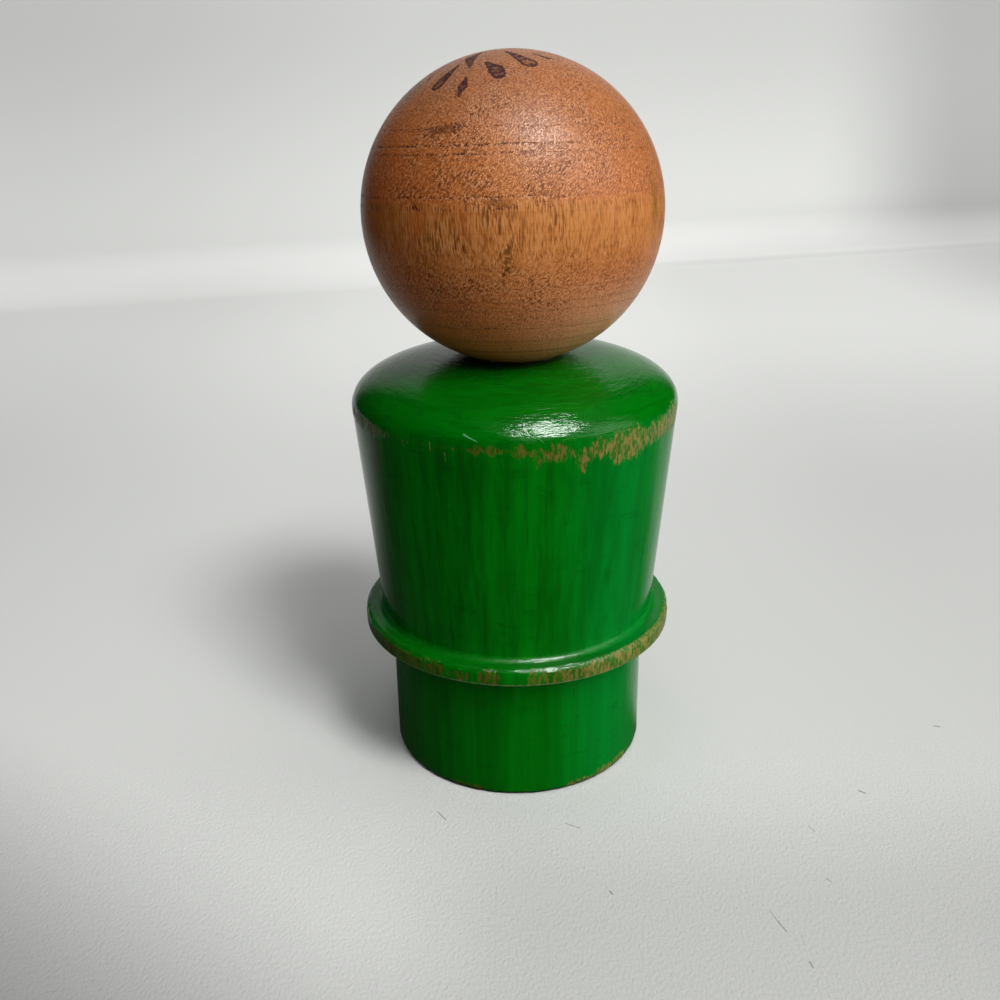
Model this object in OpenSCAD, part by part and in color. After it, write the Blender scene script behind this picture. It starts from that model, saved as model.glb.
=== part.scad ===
// Turned wooden peg doll, in millimetres.
// A ball head turns on a steel pin that runs up through a one-piece turned body.
// The origin is the middle of the foot's underside, +Z is up, and the doll's front looks to -Y.

/* [Foot and flange] */
// Diameter of the round foot that plugs into a seat hole
foot_d = 20.9; // [14:0.1:22]
// Height of the foot, from the floor to the flange
foot_h = 11.4; // [6:0.1:18]
// Rounding of the foot's bottom edge
foot_round = 0.5; // [0.2:0.1:1.5]
// Diameter of the flange that rests on the rim of the seat hole
flange_d = 25.2; // [24.6:0.1:34]
// Thickness of the flange
flange_t = 1.4; // [1:0.1:4]
// Rounding of the flange's upper edge
flange_round = 0.45; // [0.1:0.05:0.8]

/* [Body] */
// Diameter of the wall where it meets the flange
wall_foot_d = 22.4; // [18:0.1:23]
// Radius of the hollow between the wall and the flange
cove_r = 0.5; // [0.2:0.1:0.9]
// Height of the wall, from the flange to the widest line of the shoulder
wall_h = 17.2; // [10:0.1:32]
// Diameter of the body at the widest line of the shoulder
shoulder_d = 25.4; // [20:0.1:32]
// Height of the shoulder's dome above its widest line
dome_h = 3.9; // [2:0.1:8]
// Fullness of the dome, where 2 is an ellipse and more is squarer
dome_fullness = 2.4; // [1.8:0.1:3.5]
// Diameter of the flat land on top of the dome that the head sits on
land_d = 7.6; // [6:0.1:14]

/* [Head] */
// Diameter of the ball
head_d = 22.3; // [18:0.1:30]
// Diameter of the flat under the ball
seat_d = 7.2; // [6:0.1:12]

/* [Neck pin] */
// Diameter of the pin's shank
pin_d = 3; // [2:0.1:4.5]
// Diameter of the pin's head
pin_head_d = 6.5; // [5.5:0.1:9]
// Thickness of the pin's head
pin_head_t = 1.2; // [0.8:0.1:2]
// Length of the pointed tip
pin_tip = 1.5; // [0.5:0.1:3]
// Length of the pin that is driven into the ball
pin_reach = 12; // [6:0.5:14]
// Depth of the counterbore under the foot
cbore_depth = 3; // [2.3:0.1:5]

/* [Fits] */
// Running clearance between the shank and the body's bore, on the radius
shank_gap = 0.08; // [0.03:0.01:0.1]
// Clearance round the pin's head in its counterbore, on the radius
cbore_gap = 0.5; // [0.2:0.05:1]
// Play that lets the head turn, at the land and again at the pin's head
turn_gap = 0.1; // [0.05:0.05:0.3]
// Bite of the shank in the ball's bore, on the radius
drive_bite = 0.02; // [0.01:0.01:0.04]
// Air left above the pin's tip in the ball's bore
bore_air = 0.8; // [0.3:0.1:2]

/* [Hidden] */

// Facets of a full turn, steps along a dome and steps along a small rounding
turn_fn = 120;
dome_steps = 18;
round_steps = 5;

// A cutter runs this far past the face it opens
cut_past = 1;

paint_green = [0.02, 0.36, 0.09];
paint_flesh = [0.74, 0.50, 0.34];
bright_steel = [0.72, 0.72, 0.70];

foot_r = foot_d / 2;
flange_r = flange_d / 2;
wall_foot_r = wall_foot_d / 2;
shoulder_r = shoulder_d / 2;
land_r = land_d / 2;
head_r = head_d / 2;

// Heights, from the floor up, and the angle at which the dome's curve reaches the land
flange_top = foot_h + flange_t;
shoulder_z = flange_top + wall_h;
dome_end = acos(pow(land_r / shoulder_r, dome_fullness / 2));
land_z = shoulder_z + dome_h * pow(sin(dome_end), 2 / dome_fullness);
seat_z = land_z + turn_gap;
head_z = seat_z + sqrt(pow(head_r, 2) - pow(seat_d / 2, 2));

// The bores that the pin's shank and head pass through
shank_bore_r = pin_d / 2 + shank_gap;
cbore_r = pin_head_d / 2 + cbore_gap;
drive_bore_r = pin_d / 2 - drive_bite;
pin_head_top = cbore_depth - turn_gap;

// Points of a rounding of radius r about [cx, cz], from angle a0 to angle a1
function arc(cx, cz, r, a0, a1) = [
    for (i = [0 : round_steps])
        let (a = a0 + (a1 - a0) * i / round_steps)
            [cx + r * cos(a), cz + r * sin(a)]
];

// Points of the shoulder's dome, a superellipse from its widest line in to the land
function dome() = [
    for (i = [1 : dome_steps])
        let (a = dome_end * i / dome_steps)
            [shoulder_r * pow(cos(a), 2 / dome_fullness),
             shoulder_z + dome_h * pow(sin(a), 2 / dome_fullness)]
];

// Half outline of the body, from the middle of its underside out and up to the land
function body_outline() = concat(
    [[0, 0]],
    arc(foot_r - foot_round, foot_round, foot_round, -90, 0),
    [[foot_r, foot_h], [flange_r, foot_h]],
    arc(flange_r - flange_round, flange_top - flange_round, flange_round, 0, 90),
    arc(wall_foot_r + cove_r, flange_top + cove_r, cove_r, 270, 180),
    [[shoulder_r, shoulder_z]],
    dome(),
    [[0, land_z]]
);

// Foot, flange, wall and shoulder, turned from one piece and bored for the pin
module doll_body() {
    color(paint_green)
        difference() {
            rotate_extrude($fn = turn_fn) polygon(body_outline());
            translate([0, 0, -cut_past])
                cylinder(r = shank_bore_r, h = land_z + 2 * cut_past, $fn = turn_fn);
            translate([0, 0, -cut_past])
                cylinder(r = cbore_r, h = cbore_depth + cut_past, $fn = turn_fn);
        }
}

// Ball with a flat under it, bored from below for the pin
module head() {
    color(paint_flesh)
        difference() {
            translate([0, 0, head_z]) sphere(r = head_r, $fn = turn_fn);
            translate([0, 0, seat_z - head_r])
                cylinder(r = head_r, h = head_r, $fn = turn_fn);
            translate([0, 0, seat_z - cut_past])
                cylinder(r = drive_bore_r, h = cut_past + pin_reach + bore_air, $fn = turn_fn);
        }
}

// Headed pin, with its head up in the counterbore and its point driven into the ball
module neck_pin() {
    shank_r = pin_d / 2;
    tip_z = seat_z + pin_reach;
    color(bright_steel)
        rotate_extrude($fn = turn_fn)
            polygon([
                [0, pin_head_top - pin_head_t],
                [pin_head_d / 2, pin_head_top - pin_head_t],
                [pin_head_d / 2, pin_head_top],
                [shank_r, pin_head_top],
                [shank_r, tip_z - pin_tip],
                [0, tip_z]
            ]);
}

doll_body();
head();
neck_pin();
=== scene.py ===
# %% [markdown]
# A wooden peg doll: a ball of turned hardwood that rides on a turned and painted body.
# The imported CAD model is loaded first. It is the frame: every piece made below has to sit where
# its solid sits.
# Blender works in metres. A turner thinks in millimetres, so the sizes below are in millimetres
# and one constant turns them into metres.

# %% Load the frame
import math

import bpy
from mathutils import Euler, Matrix, Vector


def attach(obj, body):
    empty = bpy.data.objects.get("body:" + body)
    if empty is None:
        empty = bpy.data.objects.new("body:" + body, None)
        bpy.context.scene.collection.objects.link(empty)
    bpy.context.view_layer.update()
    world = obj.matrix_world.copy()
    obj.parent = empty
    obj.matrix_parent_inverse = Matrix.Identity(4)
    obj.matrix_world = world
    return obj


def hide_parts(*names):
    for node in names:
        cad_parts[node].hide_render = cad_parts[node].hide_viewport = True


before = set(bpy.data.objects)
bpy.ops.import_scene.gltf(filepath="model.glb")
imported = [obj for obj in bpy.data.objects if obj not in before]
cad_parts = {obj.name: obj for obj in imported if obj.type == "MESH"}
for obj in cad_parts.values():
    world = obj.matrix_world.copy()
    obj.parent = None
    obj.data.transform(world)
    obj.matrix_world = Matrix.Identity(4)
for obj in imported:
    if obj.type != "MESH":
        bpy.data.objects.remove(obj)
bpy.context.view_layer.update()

MM = 0.001
print("solids in the frame:", sorted(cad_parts))

# %% [markdown]
# The photograph looks down on the doll from close by, which is why the foot looks narrower than
# the shoulder. A camera is placed by its distance, height, tilt and focal length. Aiming it with
# a Track To constraint would be quicker, but the picture isn't centred on the doll, so the
# camera's three axes are worked out and written into its matrix.

# %% Camera
CAMERA_BACK, CAMERA_HEIGHT = 85.559, 57.032
LOOK_DOWN, LOOK_ASIDE, ROLL = (math.radians(a) for a in (22.641, -0.853, -0.921))
FOCAL_SHARE = 1.135531
SENSOR = 36

forward = Vector((math.sin(LOOK_ASIDE) * math.cos(LOOK_DOWN),
                  math.cos(LOOK_ASIDE) * math.cos(LOOK_DOWN),
                  -math.sin(LOOK_DOWN)))
level = forward.cross(Vector((0, 0, 1))).normalized()
upright = level.cross(forward)
right = level * math.cos(ROLL) + upright * math.sin(ROLL)
up = upright * math.cos(ROLL) - level * math.sin(ROLL)

bpy.ops.object.camera_add()
camera = bpy.context.object
camera.name = "camera"
camera.data.sensor_width = SENSOR
camera.data.lens = SENSOR * FOCAL_SHARE
camera.data.clip_start, camera.data.clip_end = 0.005, 20
turn = Matrix((right, up, -forward)).transposed().to_4x4()
camera.matrix_world = Matrix.Translation((0, -CAMERA_BACK * MM, CAMERA_HEIGHT * MM)) @ turn
bpy.context.scene.camera = camera
print("camera lens in mm:", round(camera.data.lens, 2))

# %% [markdown]
# An operator works on whatever is selected, and the CAD solids come in selected. So each piece
# starts by deselecting everything, and its corners are then picked in code by where they are.

# %% Picking corners and faces
def start_edit(piece):
    """Selects one object alone and opens it in edit mode."""
    bpy.ops.object.select_all(action="DESELECT")
    piece.select_set(True)
    bpy.context.view_layer.objects.active = piece
    bpy.ops.object.mode_set(mode="EDIT")


def pick(piece, kind, wanted):
    """Selects the corners (VERT) or faces (FACE) whose place in mm passes the test."""
    bpy.ops.mesh.select_mode(type=kind)
    bpy.ops.mesh.select_all(action="DESELECT")
    bpy.ops.object.mode_set(mode="OBJECT")
    parts = piece.data.vertices if kind == "VERT" else piece.data.polygons
    for part in parts:
        place = part.co if kind == "VERT" else part.center
        part.select = bool(wanted(place / MM))
    picked = sum(part.select for part in parts)
    bpy.ops.object.mode_set(mode="EDIT")
    return picked


def finish_piece(piece, body, node, crease=35):
    """Closes the mesh, shades it, and hands it to the frame in place of its solid."""
    bpy.ops.object.mode_set(mode="OBJECT")
    bpy.ops.object.shade_smooth_by_angle(angle=math.radians(crease))
    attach(piece, body)
    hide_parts(node)
    size = piece.dimensions / MM
    print(piece.name, "is", [round(v, 2) for v in size], "mm,", len(piece.data.polygons), "faces")


def reach(place):
    """Distance of a place from the turning axis."""
    return math.hypot(place[0], place[1])

# %% [markdown]
# The body is one piece of turned wood: foot, flange, wall and shoulder. On a lathe the wood spins
# and the tool follows one outline. Blender's Spin does the same: half an outline is drawn, then
# swept once round the axis. Stacked cylinders would give the shapes too, but not the small
# rounded corners and the hollow above the flange, where the paint catches the light.
#
# The outline runs from the counterbore under the foot, out and up to the dome, and back down the
# bore of the neck pin, so that the swept skin is closed and has wood inside it.

# %% Outline of the body
FOOT_R, FOOT_H, FLANGE_R, FLANGE_T = 10.45, 11.4, 12.6, 1.4
WALL_FOOT_R, SHOULDER_R, SHOULDER_Z = 11.2, 12.7, 30.0
DOME_H, DOME_FULLNESS, LAND_R = 3.9, 2.4, 3.8
BORE_R, COUNTERBORE_R, COUNTERBORE_DEPTH = 1.58, 3.75, 3.0
FOOT_ROUND, LIP_ROUND, FLANGE_ROUND, COVE_R = 0.5, 0.16, 0.45, 0.5
FILLET, BORE_MOUTH, COUNTERBORE_MOUTH = 0.12, 0.15, 0.1
FLANGE_TOP = FOOT_H + FLANGE_T


def arc(centre_r, centre_z, radius, start, end, steps=6):
    """Points of a rounding, from one angle in degrees to another."""
    angles = [math.radians(start + (end - start) * i / steps) for i in range(steps + 1)]
    return [(centre_r + radius * math.cos(a), centre_z + radius * math.sin(a)) for a in angles]


def dome(steps=26):
    """Points of the shoulder's dome, fuller than an ellipse, from its widest line to the land."""
    last = math.acos((LAND_R / SHOULDER_R) ** (DOME_FULLNESS / 2))
    power = 2 / DOME_FULLNESS
    angles = [last * i / steps for i in range(1, steps + 1)]
    return [(SHOULDER_R * math.cos(a) ** power, SHOULDER_Z + DOME_H * math.sin(a) ** power)
            for a in angles]


def rise(start, end, steps):
    """Points up a straight wall, without its first."""
    run, climb = end[0] - start[0], end[1] - start[1]
    return [(start[0] + run * i / steps, start[1] + climb * i / steps)
            for i in range(1, steps + 1)]


outline = [(COUNTERBORE_R + COUNTERBORE_MOUTH, 0)]
outline += arc(FOOT_R - FOOT_ROUND, FOOT_ROUND, FOOT_ROUND, -90, 0)
outline += rise((FOOT_R, FOOT_ROUND), (FOOT_R, FOOT_H - FILLET), 6)
outline += [(FOOT_R + FILLET, FOOT_H)]
outline += arc(FLANGE_R - LIP_ROUND, FOOT_H + LIP_ROUND, LIP_ROUND, -90, 0, 4)
outline += arc(FLANGE_R - FLANGE_ROUND, FLANGE_TOP - FLANGE_ROUND, FLANGE_ROUND, 0, 90, 8)
outline += arc(WALL_FOOT_R + COVE_R, FLANGE_TOP + COVE_R, COVE_R, 270, 180, 8)
outline += rise((WALL_FOOT_R, FLANGE_TOP + COVE_R), (SHOULDER_R, SHOULDER_Z), 12)
outline += dome()
LAND_Z = outline[-1][1]
outline += [(BORE_R + BORE_MOUTH, LAND_Z), (BORE_R, LAND_Z - BORE_MOUTH)]
outline += [(BORE_R, COUNTERBORE_DEPTH), (COUNTERBORE_R, COUNTERBORE_DEPTH)]
outline += [(COUNTERBORE_R, COUNTERBORE_MOUTH), outline[0]]
print("outline:", len(outline), "points, land at", round(LAND_Z, 2), "mm")

# %% [markdown]
# A plane merged to its centre leaves a single corner. That corner is moved to the start of the
# outline and extruded from point to point, then the whole line is spun once round.

# %% Spin the body
TURN_STEPS = 192


def spin_outline(name, points):
    """Draws an outline by extruding one corner, then sweeps it once round the Z axis."""
    bpy.ops.object.select_all(action="DESELECT")
    bpy.ops.mesh.primitive_plane_add(size=MM)
    piece = bpy.context.object
    piece.name = name
    start_edit(piece)
    bpy.ops.mesh.select_mode(type="VERT")
    bpy.ops.mesh.select_all(action="SELECT")
    bpy.ops.mesh.merge(type="CENTER")
    places = [Vector((r * MM, 0, z * MM)) for r, z in points]
    bpy.ops.transform.translate(value=places[0])
    for here, there in zip(places, places[1:]):
        bpy.ops.mesh.extrude_region_move(TRANSFORM_OT_translate={"value": there - here})
    bpy.ops.mesh.select_all(action="SELECT")
    bpy.ops.mesh.remove_doubles(threshold=0.001 * MM)
    bpy.ops.mesh.spin(steps=TURN_STEPS, angle=math.tau, center=(0, 0, 0), axis=(0, 0, 1))
    bpy.ops.mesh.select_all(action="SELECT")
    bpy.ops.mesh.remove_doubles(threshold=0.001 * MM)
    bpy.ops.mesh.normals_make_consistent(inside=False)
    return piece


body = spin_outline("painted_body", outline)
print(body.name, "is spun in", TURN_STEPS, "steps")

# %% [markdown]
# Years of knocks have flattened the flange's rim, the foot's edge and the arris under the dome by
# a few hundredths of a millimetre, unevenly. Randomize moves each picked corner a little. Its
# seed is fixed, so the same dents come out each time. A bump in the paint alone would not
# change the outline of the rim.

# %% Knock the edges about
KNOCKS = (  # which corners, how deep in mm, and the seed
    (lambda p: abs(p.z - FLANGE_TOP + 0.3) < 0.35 and reach(p) > FLANGE_R - 0.4, 0.035, 3),
    (lambda p: p.z < 0.45 and reach(p) > FOOT_R - 0.45, 0.03, 5),
    (lambda p: abs(p.z - SHOULDER_Z) < 0.9 and reach(p) > SHOULDER_R - 0.4, 0.02, 8),
)
for wanted, depth, seed in KNOCKS:
    found = pick(body, "VERT", wanted)
    bpy.ops.transform.vertex_random(offset=depth * MM, uniform=0, normal=1, seed=seed)
    print("corners knocked:", found)
finish_piece(body, "body", "doll_body")

# %% [markdown]
# The head is a turned ball with a small flat under it, bored for the pin. A UV sphere has its
# rings where the lathe would leave them. Bisect cuts the flat and fills it, inset draws the mouth
# of the bore on it, and extruding that inner face upwards makes the blind hole.

# %% Head
HEAD_R, HEAD_Z = 11.15, 44.464
TURN_GAP, BALL_RINGS = 0.1, 120
SEAT_Z = LAND_Z + TURN_GAP
DRIVE_BORE_R, DRIVE_BORE_DEPTH = 1.48, 12.8

bpy.ops.object.select_all(action="DESELECT")
bpy.ops.mesh.primitive_uv_sphere_add(segments=TURN_STEPS, ring_count=BALL_RINGS,
                                     radius=HEAD_R * MM, location=(0, 0, HEAD_Z * MM))
head = bpy.context.object
head.name = "ball_head"
bpy.ops.object.transform_apply(location=True, rotation=True, scale=True)
start_edit(head)
bpy.ops.mesh.select_all(action="SELECT")
bpy.ops.mesh.bisect(plane_co=(0, 0, SEAT_Z * MM), plane_no=(0, 0, 1), use_fill=True,
                    clear_inner=True, threshold=0.001 * MM)
found = pick(head, "FACE", lambda p: abs(p.z - SEAT_Z) < 0.01 and reach(p) < 1)
seat_r = math.sqrt(HEAD_R ** 2 - (HEAD_Z - SEAT_Z) ** 2)
bpy.ops.mesh.inset(thickness=(seat_r - DRIVE_BORE_R) * MM, use_even_offset=True)
bpy.ops.mesh.extrude_region_move(
    TRANSFORM_OT_translate={"value": (0, 0, DRIVE_BORE_DEPTH * MM)})
bpy.ops.mesh.select_all(action="SELECT")
bpy.ops.mesh.normals_make_consistent(inside=False)
print("flats found:", found, "and the flat is", round(2 * seat_r, 2), "mm across")
finish_piece(head, "head", "head")

# %% [markdown]
# The pin is a plain headed nail, upset cold from wire: a domed head, a straight shank and a
# pointed tip. It hides inside the wood and shows only in the hole under the foot. It is one more
# turned outline, so the same helper spins it.

# %% Neck pin
PIN_R, PIN_HEAD_R, PIN_HEAD_LOW, PIN_HEAD_TOP = 1.5, 3.25, 1.7, 2.9
PIN_TIP, PIN_NECK, PIN_HEAD_ROUND, PIN_HEAD_EDGE = 1.5, 0.15, 0.25, 0.12
PIN_END = SEAT_Z + 12
pin_outline = [(0, PIN_HEAD_LOW), (PIN_HEAD_R * 0.45, PIN_HEAD_LOW + 0.03)]
pin_outline += [(PIN_HEAD_R * 0.8, PIN_HEAD_LOW + 0.14)]
pin_outline += arc(PIN_HEAD_R - PIN_HEAD_ROUND, PIN_HEAD_LOW + 0.45, PIN_HEAD_ROUND, -60, 0, 4)
pin_outline += arc(PIN_HEAD_R - PIN_HEAD_EDGE, PIN_HEAD_TOP - PIN_HEAD_EDGE, PIN_HEAD_EDGE,
                   0, 90, 3)
pin_outline += [(PIN_R + PIN_NECK, PIN_HEAD_TOP), (PIN_R, PIN_HEAD_TOP + PIN_NECK)]
pin_outline += [(PIN_R, PIN_END - PIN_TIP), (PIN_R * 0.55, PIN_END - PIN_TIP * 0.5), (0, PIN_END)]
pin = spin_outline("steel_neck_pin", pin_outline)
finish_piece(pin, "head", "neck_pin")

# %% [markdown]
# The finishes are all made of nodes. Short helpers keep them readable. They add a node and fill
# its sockets, do a sum, turn a value into a soft edge between two levels, or blend by a share.
# All of them work on the tree in hand, as an operator works on the active object.

# %% Node helpers: nodes and sums
tree = None  # the node tree in hand


def add(kind, sockets=None, **settings):
    """Adds a node. A socket is given a number, a colour or another node's output."""
    node = tree.nodes.new("ShaderNode" + kind)
    for name, value in settings.items():
        setattr(node, name, value)
    for key, value in (sockets or {}).items():
        if isinstance(value, bpy.types.NodeSocket):
            tree.links.new(value, node.inputs[key])
        else:
            node.inputs[key].default_value = value
    return node


def count_nodes(what):
    """Says how large the tree in hand has grown."""
    print(what, "is in, nodes so far:", len(tree.nodes))


def calc(operation, first, second=0.0, third=0.0, clamp=False):
    """One sum of a Math node."""
    node = add("Math", {0: first, 1: second, 2: third}, operation=operation, use_clamp=clamp)
    return node.outputs[0]


def times(first, second, clamp=False):
    """Two values multiplied."""
    return calc("MULTIPLY", first, second, clamp=clamp)


def joined(operation, values):
    """One sum run through a list of values."""
    total = values[0]
    for value in values[1:]:
        total = calc(operation, total, value)
    return total


def apart(first, second):
    """How far apart two values are."""
    return calc("ABSOLUTE", calc("SUBTRACT", first, second))

# %% Node helpers: places, edges and blends
def scaled(place, factors):
    """A place drawn out or squeezed along its three axes."""
    return add("VectorMath", {0: place, 1: factors}, operation="MULTIPLY").outputs[0]


def soft_edge(value, low, high, bottom=0.0, top=1.0):
    """Goes from bottom to top as the value goes from low to high, with soft shoulders."""
    node = add("MapRange", {"Value": value, "From Min": low, "From Max": high, "To Min": bottom,
                            "To Max": top}, interpolation_type="SMOOTHSTEP")
    return node.outputs["Result"]


def blended(share, first, second):
    """Goes from a first value to a second by a share from 0 to 1."""
    return add("Mix", {0: share, 2: first, 3: second}, data_type="FLOAT").outputs[0]


def mixed(share, first, second, blend="MIX"):
    """Lays a second colour over a first by a share from 0 to 1."""
    node = add("Mix", {0: share, 6: first, 7: second}, data_type="RGBA", blend_type=blend)
    return node.outputs[2]


def noise(place, scale, detail=2.0, rough=0.5, warp=0.0):
    """A Noise texture's value."""
    return add("TexNoise", {"Vector": place, "Scale": scale, "Detail": detail, "Roughness": rough,
                            "Distortion": warp}).outputs["Fac"]


def split(place):
    """The three coordinates of a place."""
    return add("SeparateXYZ", {0: place}).outputs


def compass_and_reach(x, y):
    """The compass angle from the front in radians, and the distance from the axis."""
    angle = calc("ARCTAN2", x, times(y, -1.0))
    return angle, calc("SQRT", calc("ADD", times(x, x), times(y, y)))

# %% Colour helper
def colour(red, green, blue):
    """A colour as a picture editor gives it, 0 to 255, in the linear light that nodes use."""
    def linear(v):
        v /= 255
        return v / 12.92 if v <= 0.04045 else ((v + 0.055) / 1.055) ** 2.4
    return (linear(red), linear(green), linear(blue), 1.0)


print("mid grey in linear light:", [round(v, 3) for v in colour(128, 128, 128)])

# %% [markdown]
# An effect that several finishes share is made once, as a node group with named inputs and
# outputs. A group hands out only masks, values and colours; the shader itself stays in the
# material, where its own sockets can be read when the model is exported.

# %% Group helpers
def start_group(name, **inputs):
    """Starts a node group. An underscore in a name stands for a space, and None for a vector."""
    global tree
    tree = bpy.data.node_groups.new(name, "ShaderNodeTree")
    for key, value in inputs.items():
        kind = "NodeSocketVector" if value is None else "NodeSocketFloat"
        socket = tree.interface.new_socket(key.replace("_", " "), in_out="INPUT", socket_type=kind)
        if value is not None:
            socket.default_value = value
    return tree, tree.nodes.new("NodeGroupInput").outputs


def end_group(**values):
    """Gives the group an output for each value."""
    for key in values:
        tree.interface.new_socket(key, in_out="OUTPUT", socket_type="NodeSocketFloat")
    output = tree.nodes.new("NodeGroupOutput")
    for key, value in values.items():
        tree.links.new(value, output.inputs[key])
    print("group made:", tree.name)


def place_group(group, **sockets):
    """Puts a group in the tree in hand and returns its outputs."""
    node = tree.nodes.new("ShaderNodeGroup")
    node.node_tree = group
    for key, value in sockets.items():
        key = key.replace("_", " ")
        if isinstance(value, bpy.types.NodeSocket):
            tree.links.new(value, node.inputs[key])
        else:
            node.inputs[key].default_value = value
    return node.outputs

# %% [markdown]
# Wood grain. The fibres of a turned blank run along its axis, and the lathe cuts through them.
# On the side of the blank a fibre shows as a fine upright line; nearer the poles of the ball the
# same fibre is cut across and shows as a dot. A noise that is stretched along the axis, in three
# dimensions, gives both with no extra work, where a flat picture of grain would have to be bent.

# %% Group: wood grain
grain_group, g_in = start_group("Wood Grain", Place=None, Fineness=6.0, Stretch=0.08,
                                Pore_Size=0.3, Pore_Share=0.5)
drawn = add("CombineXYZ", {0: 1.0, 1: 1.0, 2: g_in["Stretch"]}).outputs[0]
drawn = scaled(g_in["Place"], drawn)
fine = noise(drawn, g_in["Fineness"], detail=3, rough=0.6)
coarse = noise(drawn, times(g_in["Fineness"], 0.28))
streaks = calc("ADD", times(fine, 0.65), times(coarse, 0.35))
cells = add("TexVoronoi", {"Vector": drawn, "Scale": times(g_in["Fineness"], 0.6)})
dots = calc("SUBTRACT", 1.0, soft_edge(cells.outputs["Distance"], 0.0, g_in["Pore Size"]))
chosen = calc("LESS_THAN", split(cells.outputs["Color"])[0], g_in["Pore Share"])
end_group(Streaks=streaks, Pores=times(dots, chosen))

# %% [markdown]
# A drawn mark: a brush stroke, a smudge or a scratch. It is the distance from a short line between
# a tail and a tip, with a radius that grows along it, and a noise to fray its rim. Painting the
# marks on a texture would need an image, and the marks would blur when seen close.

# %% Group: drawn mark
mark_group, g_in = start_group("Drawn Mark", Place=None, Tail=None, Tip=None, Tail_Radius=0.1,
                               Tip_Radius=0.3, Fray=0.1, Softness=0.04)
along = add("VectorMath", {0: g_in["Tip"], 1: g_in["Tail"]}, operation="SUBTRACT").outputs[0]
away = add("VectorMath", {0: g_in["Place"], 1: g_in["Tail"]}, operation="SUBTRACT").outputs[0]
dot = add("VectorMath", {0: away, 1: along}, operation="DOT_PRODUCT").outputs["Value"]
length = add("VectorMath", {0: along, 1: along}, operation="DOT_PRODUCT").outputs["Value"]
share = calc("DIVIDE", dot, length, clamp=True)
nearest = add("VectorMath", {0: along, "Scale": share}, operation="SCALE").outputs[0]
gap = add("VectorMath", {0: away, 1: nearest}, operation="DISTANCE").outputs["Value"]
frayed = times(calc("SUBTRACT", noise(g_in["Place"], 5.0), 0.5), g_in["Fray"])
grows = calc("SUBTRACT", g_in["Tip Radius"], g_in["Tail Radius"])
radius = calc("MULTIPLY_ADD", share, grows, g_in["Tail Radius"])
inside = calc("SUBTRACT", calc("ADD", radius, frayed), gap)
end_group(Mask=soft_edge(inside, 0.0, g_in["Softness"]),
          Inside=calc("DIVIDE", inside, g_in["Tip Radius"], clamp=True))

# %% [markdown]
# A ring that the lathe left: a thin line at one height, broken into dots where the tool skipped
# or where the paint has filled it.

# %% Group: lathe ring
ring_group, g_in = start_group("Lathe Ring", Place=None, Height=0.0, Width=0.08, Broken=0.5,
                               Wander=0.1)
wander = times(calc("SUBTRACT", noise(g_in["Place"], 0.35, detail=3), 0.5), g_in["Wander"])
off = calc("SUBTRACT", calc("SUBTRACT", split(g_in["Place"])[2], g_in["Height"]), wander)
line = calc("SUBTRACT", 1.0, soft_edge(calc("ABSOLUTE", off), 0.0, g_in["Width"]))
dotted = noise(g_in["Place"], 5.0, rough=0.7)
patchy = noise(g_in["Place"], 0.4, detail=1)
kept = soft_edge(calc("ADD", dotted, times(patchy, 0.5)),
                 calc("MULTIPLY_ADD", g_in["Broken"], 0.5, 0.45),
                 calc("MULTIPLY_ADD", g_in["Broken"], 0.5, 0.6))
end_group(Mask=times(line, kept))

# %% [markdown]
# Worn paint along an edge: a band about a middle height, whose rim is pushed in and out by a
# tooth. The tooth comes in from outside, so that several edges can share one noise.

# %% Group: worn edge
wear_group, g_in = start_group("Worn Edge", Height=0.0, Middle=0.0, Half_Width=1.0,
                               Amount=0.5, Tooth=0.0)
away = apart(g_in["Height"], g_in["Middle"])
within = calc("MULTIPLY_ADD", g_in["Amount"], 1.7, -0.7)
within = calc("SUBTRACT", within, calc("POWER", calc("DIVIDE", away, g_in["Half Width"]), 2.0))
mask = soft_edge(calc("ADD", within, g_in["Tooth"]), -0.05, 0.8)
near = soft_edge(calc("DIVIDE", away, g_in["Half Width"]), 2.2, 1.6)
end_group(Mask=times(mask, near))

# %% [markdown]
# Every finish starts the same way: a fresh node tree, a place in millimetres, and one Principled
# shader. Object coordinates stay with the wood when the head turns.

# %% Material helper
def start_material(name, centre=(0, 0, 0), lean=(0, 0, 0), **constants):
    """Starts a material: the place in mm about a centre, and its Principled shader."""
    global tree
    material = bpy.data.materials.new(name)
    material.use_nodes = True
    tree = material.node_tree
    tree.nodes.clear()
    shader = add("BsdfPrincipled", {k.replace("_", " "): v for k, v in constants.items()})
    add("OutputMaterial", {"Surface": shader.outputs[0]})
    tilt = Euler([math.radians(a) for a in lean])
    shift = -(tilt.to_matrix() @ Vector(centre))
    place = add("Mapping", {"Vector": add("TexCoord").outputs["Object"], "Location": shift,
                            "Rotation": tilt, "Scale": (1 / MM, 1 / MM, 1 / MM)}).outputs[0]
    return material, place, shader


def link_finish(shader, relief, depth=MM, strength=1.0, **values):
    """Links values to the shader's sockets, and a bump of the relief to its normal."""
    bump = add("Bump", {"Height": relief, "Distance": depth, "Strength": strength})
    values["Normal"] = bump.outputs[0]
    for key, value in values.items():
        tree.links.new(value, shader.inputs[key.replace("_", " ")])


def dress(piece, material):
    """Gives a piece one material."""
    piece.data.materials.clear()
    piece.data.materials.append(material)
    print(piece.name, "wears", material.name, "with", len(material.node_tree.nodes), "nodes")
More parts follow.
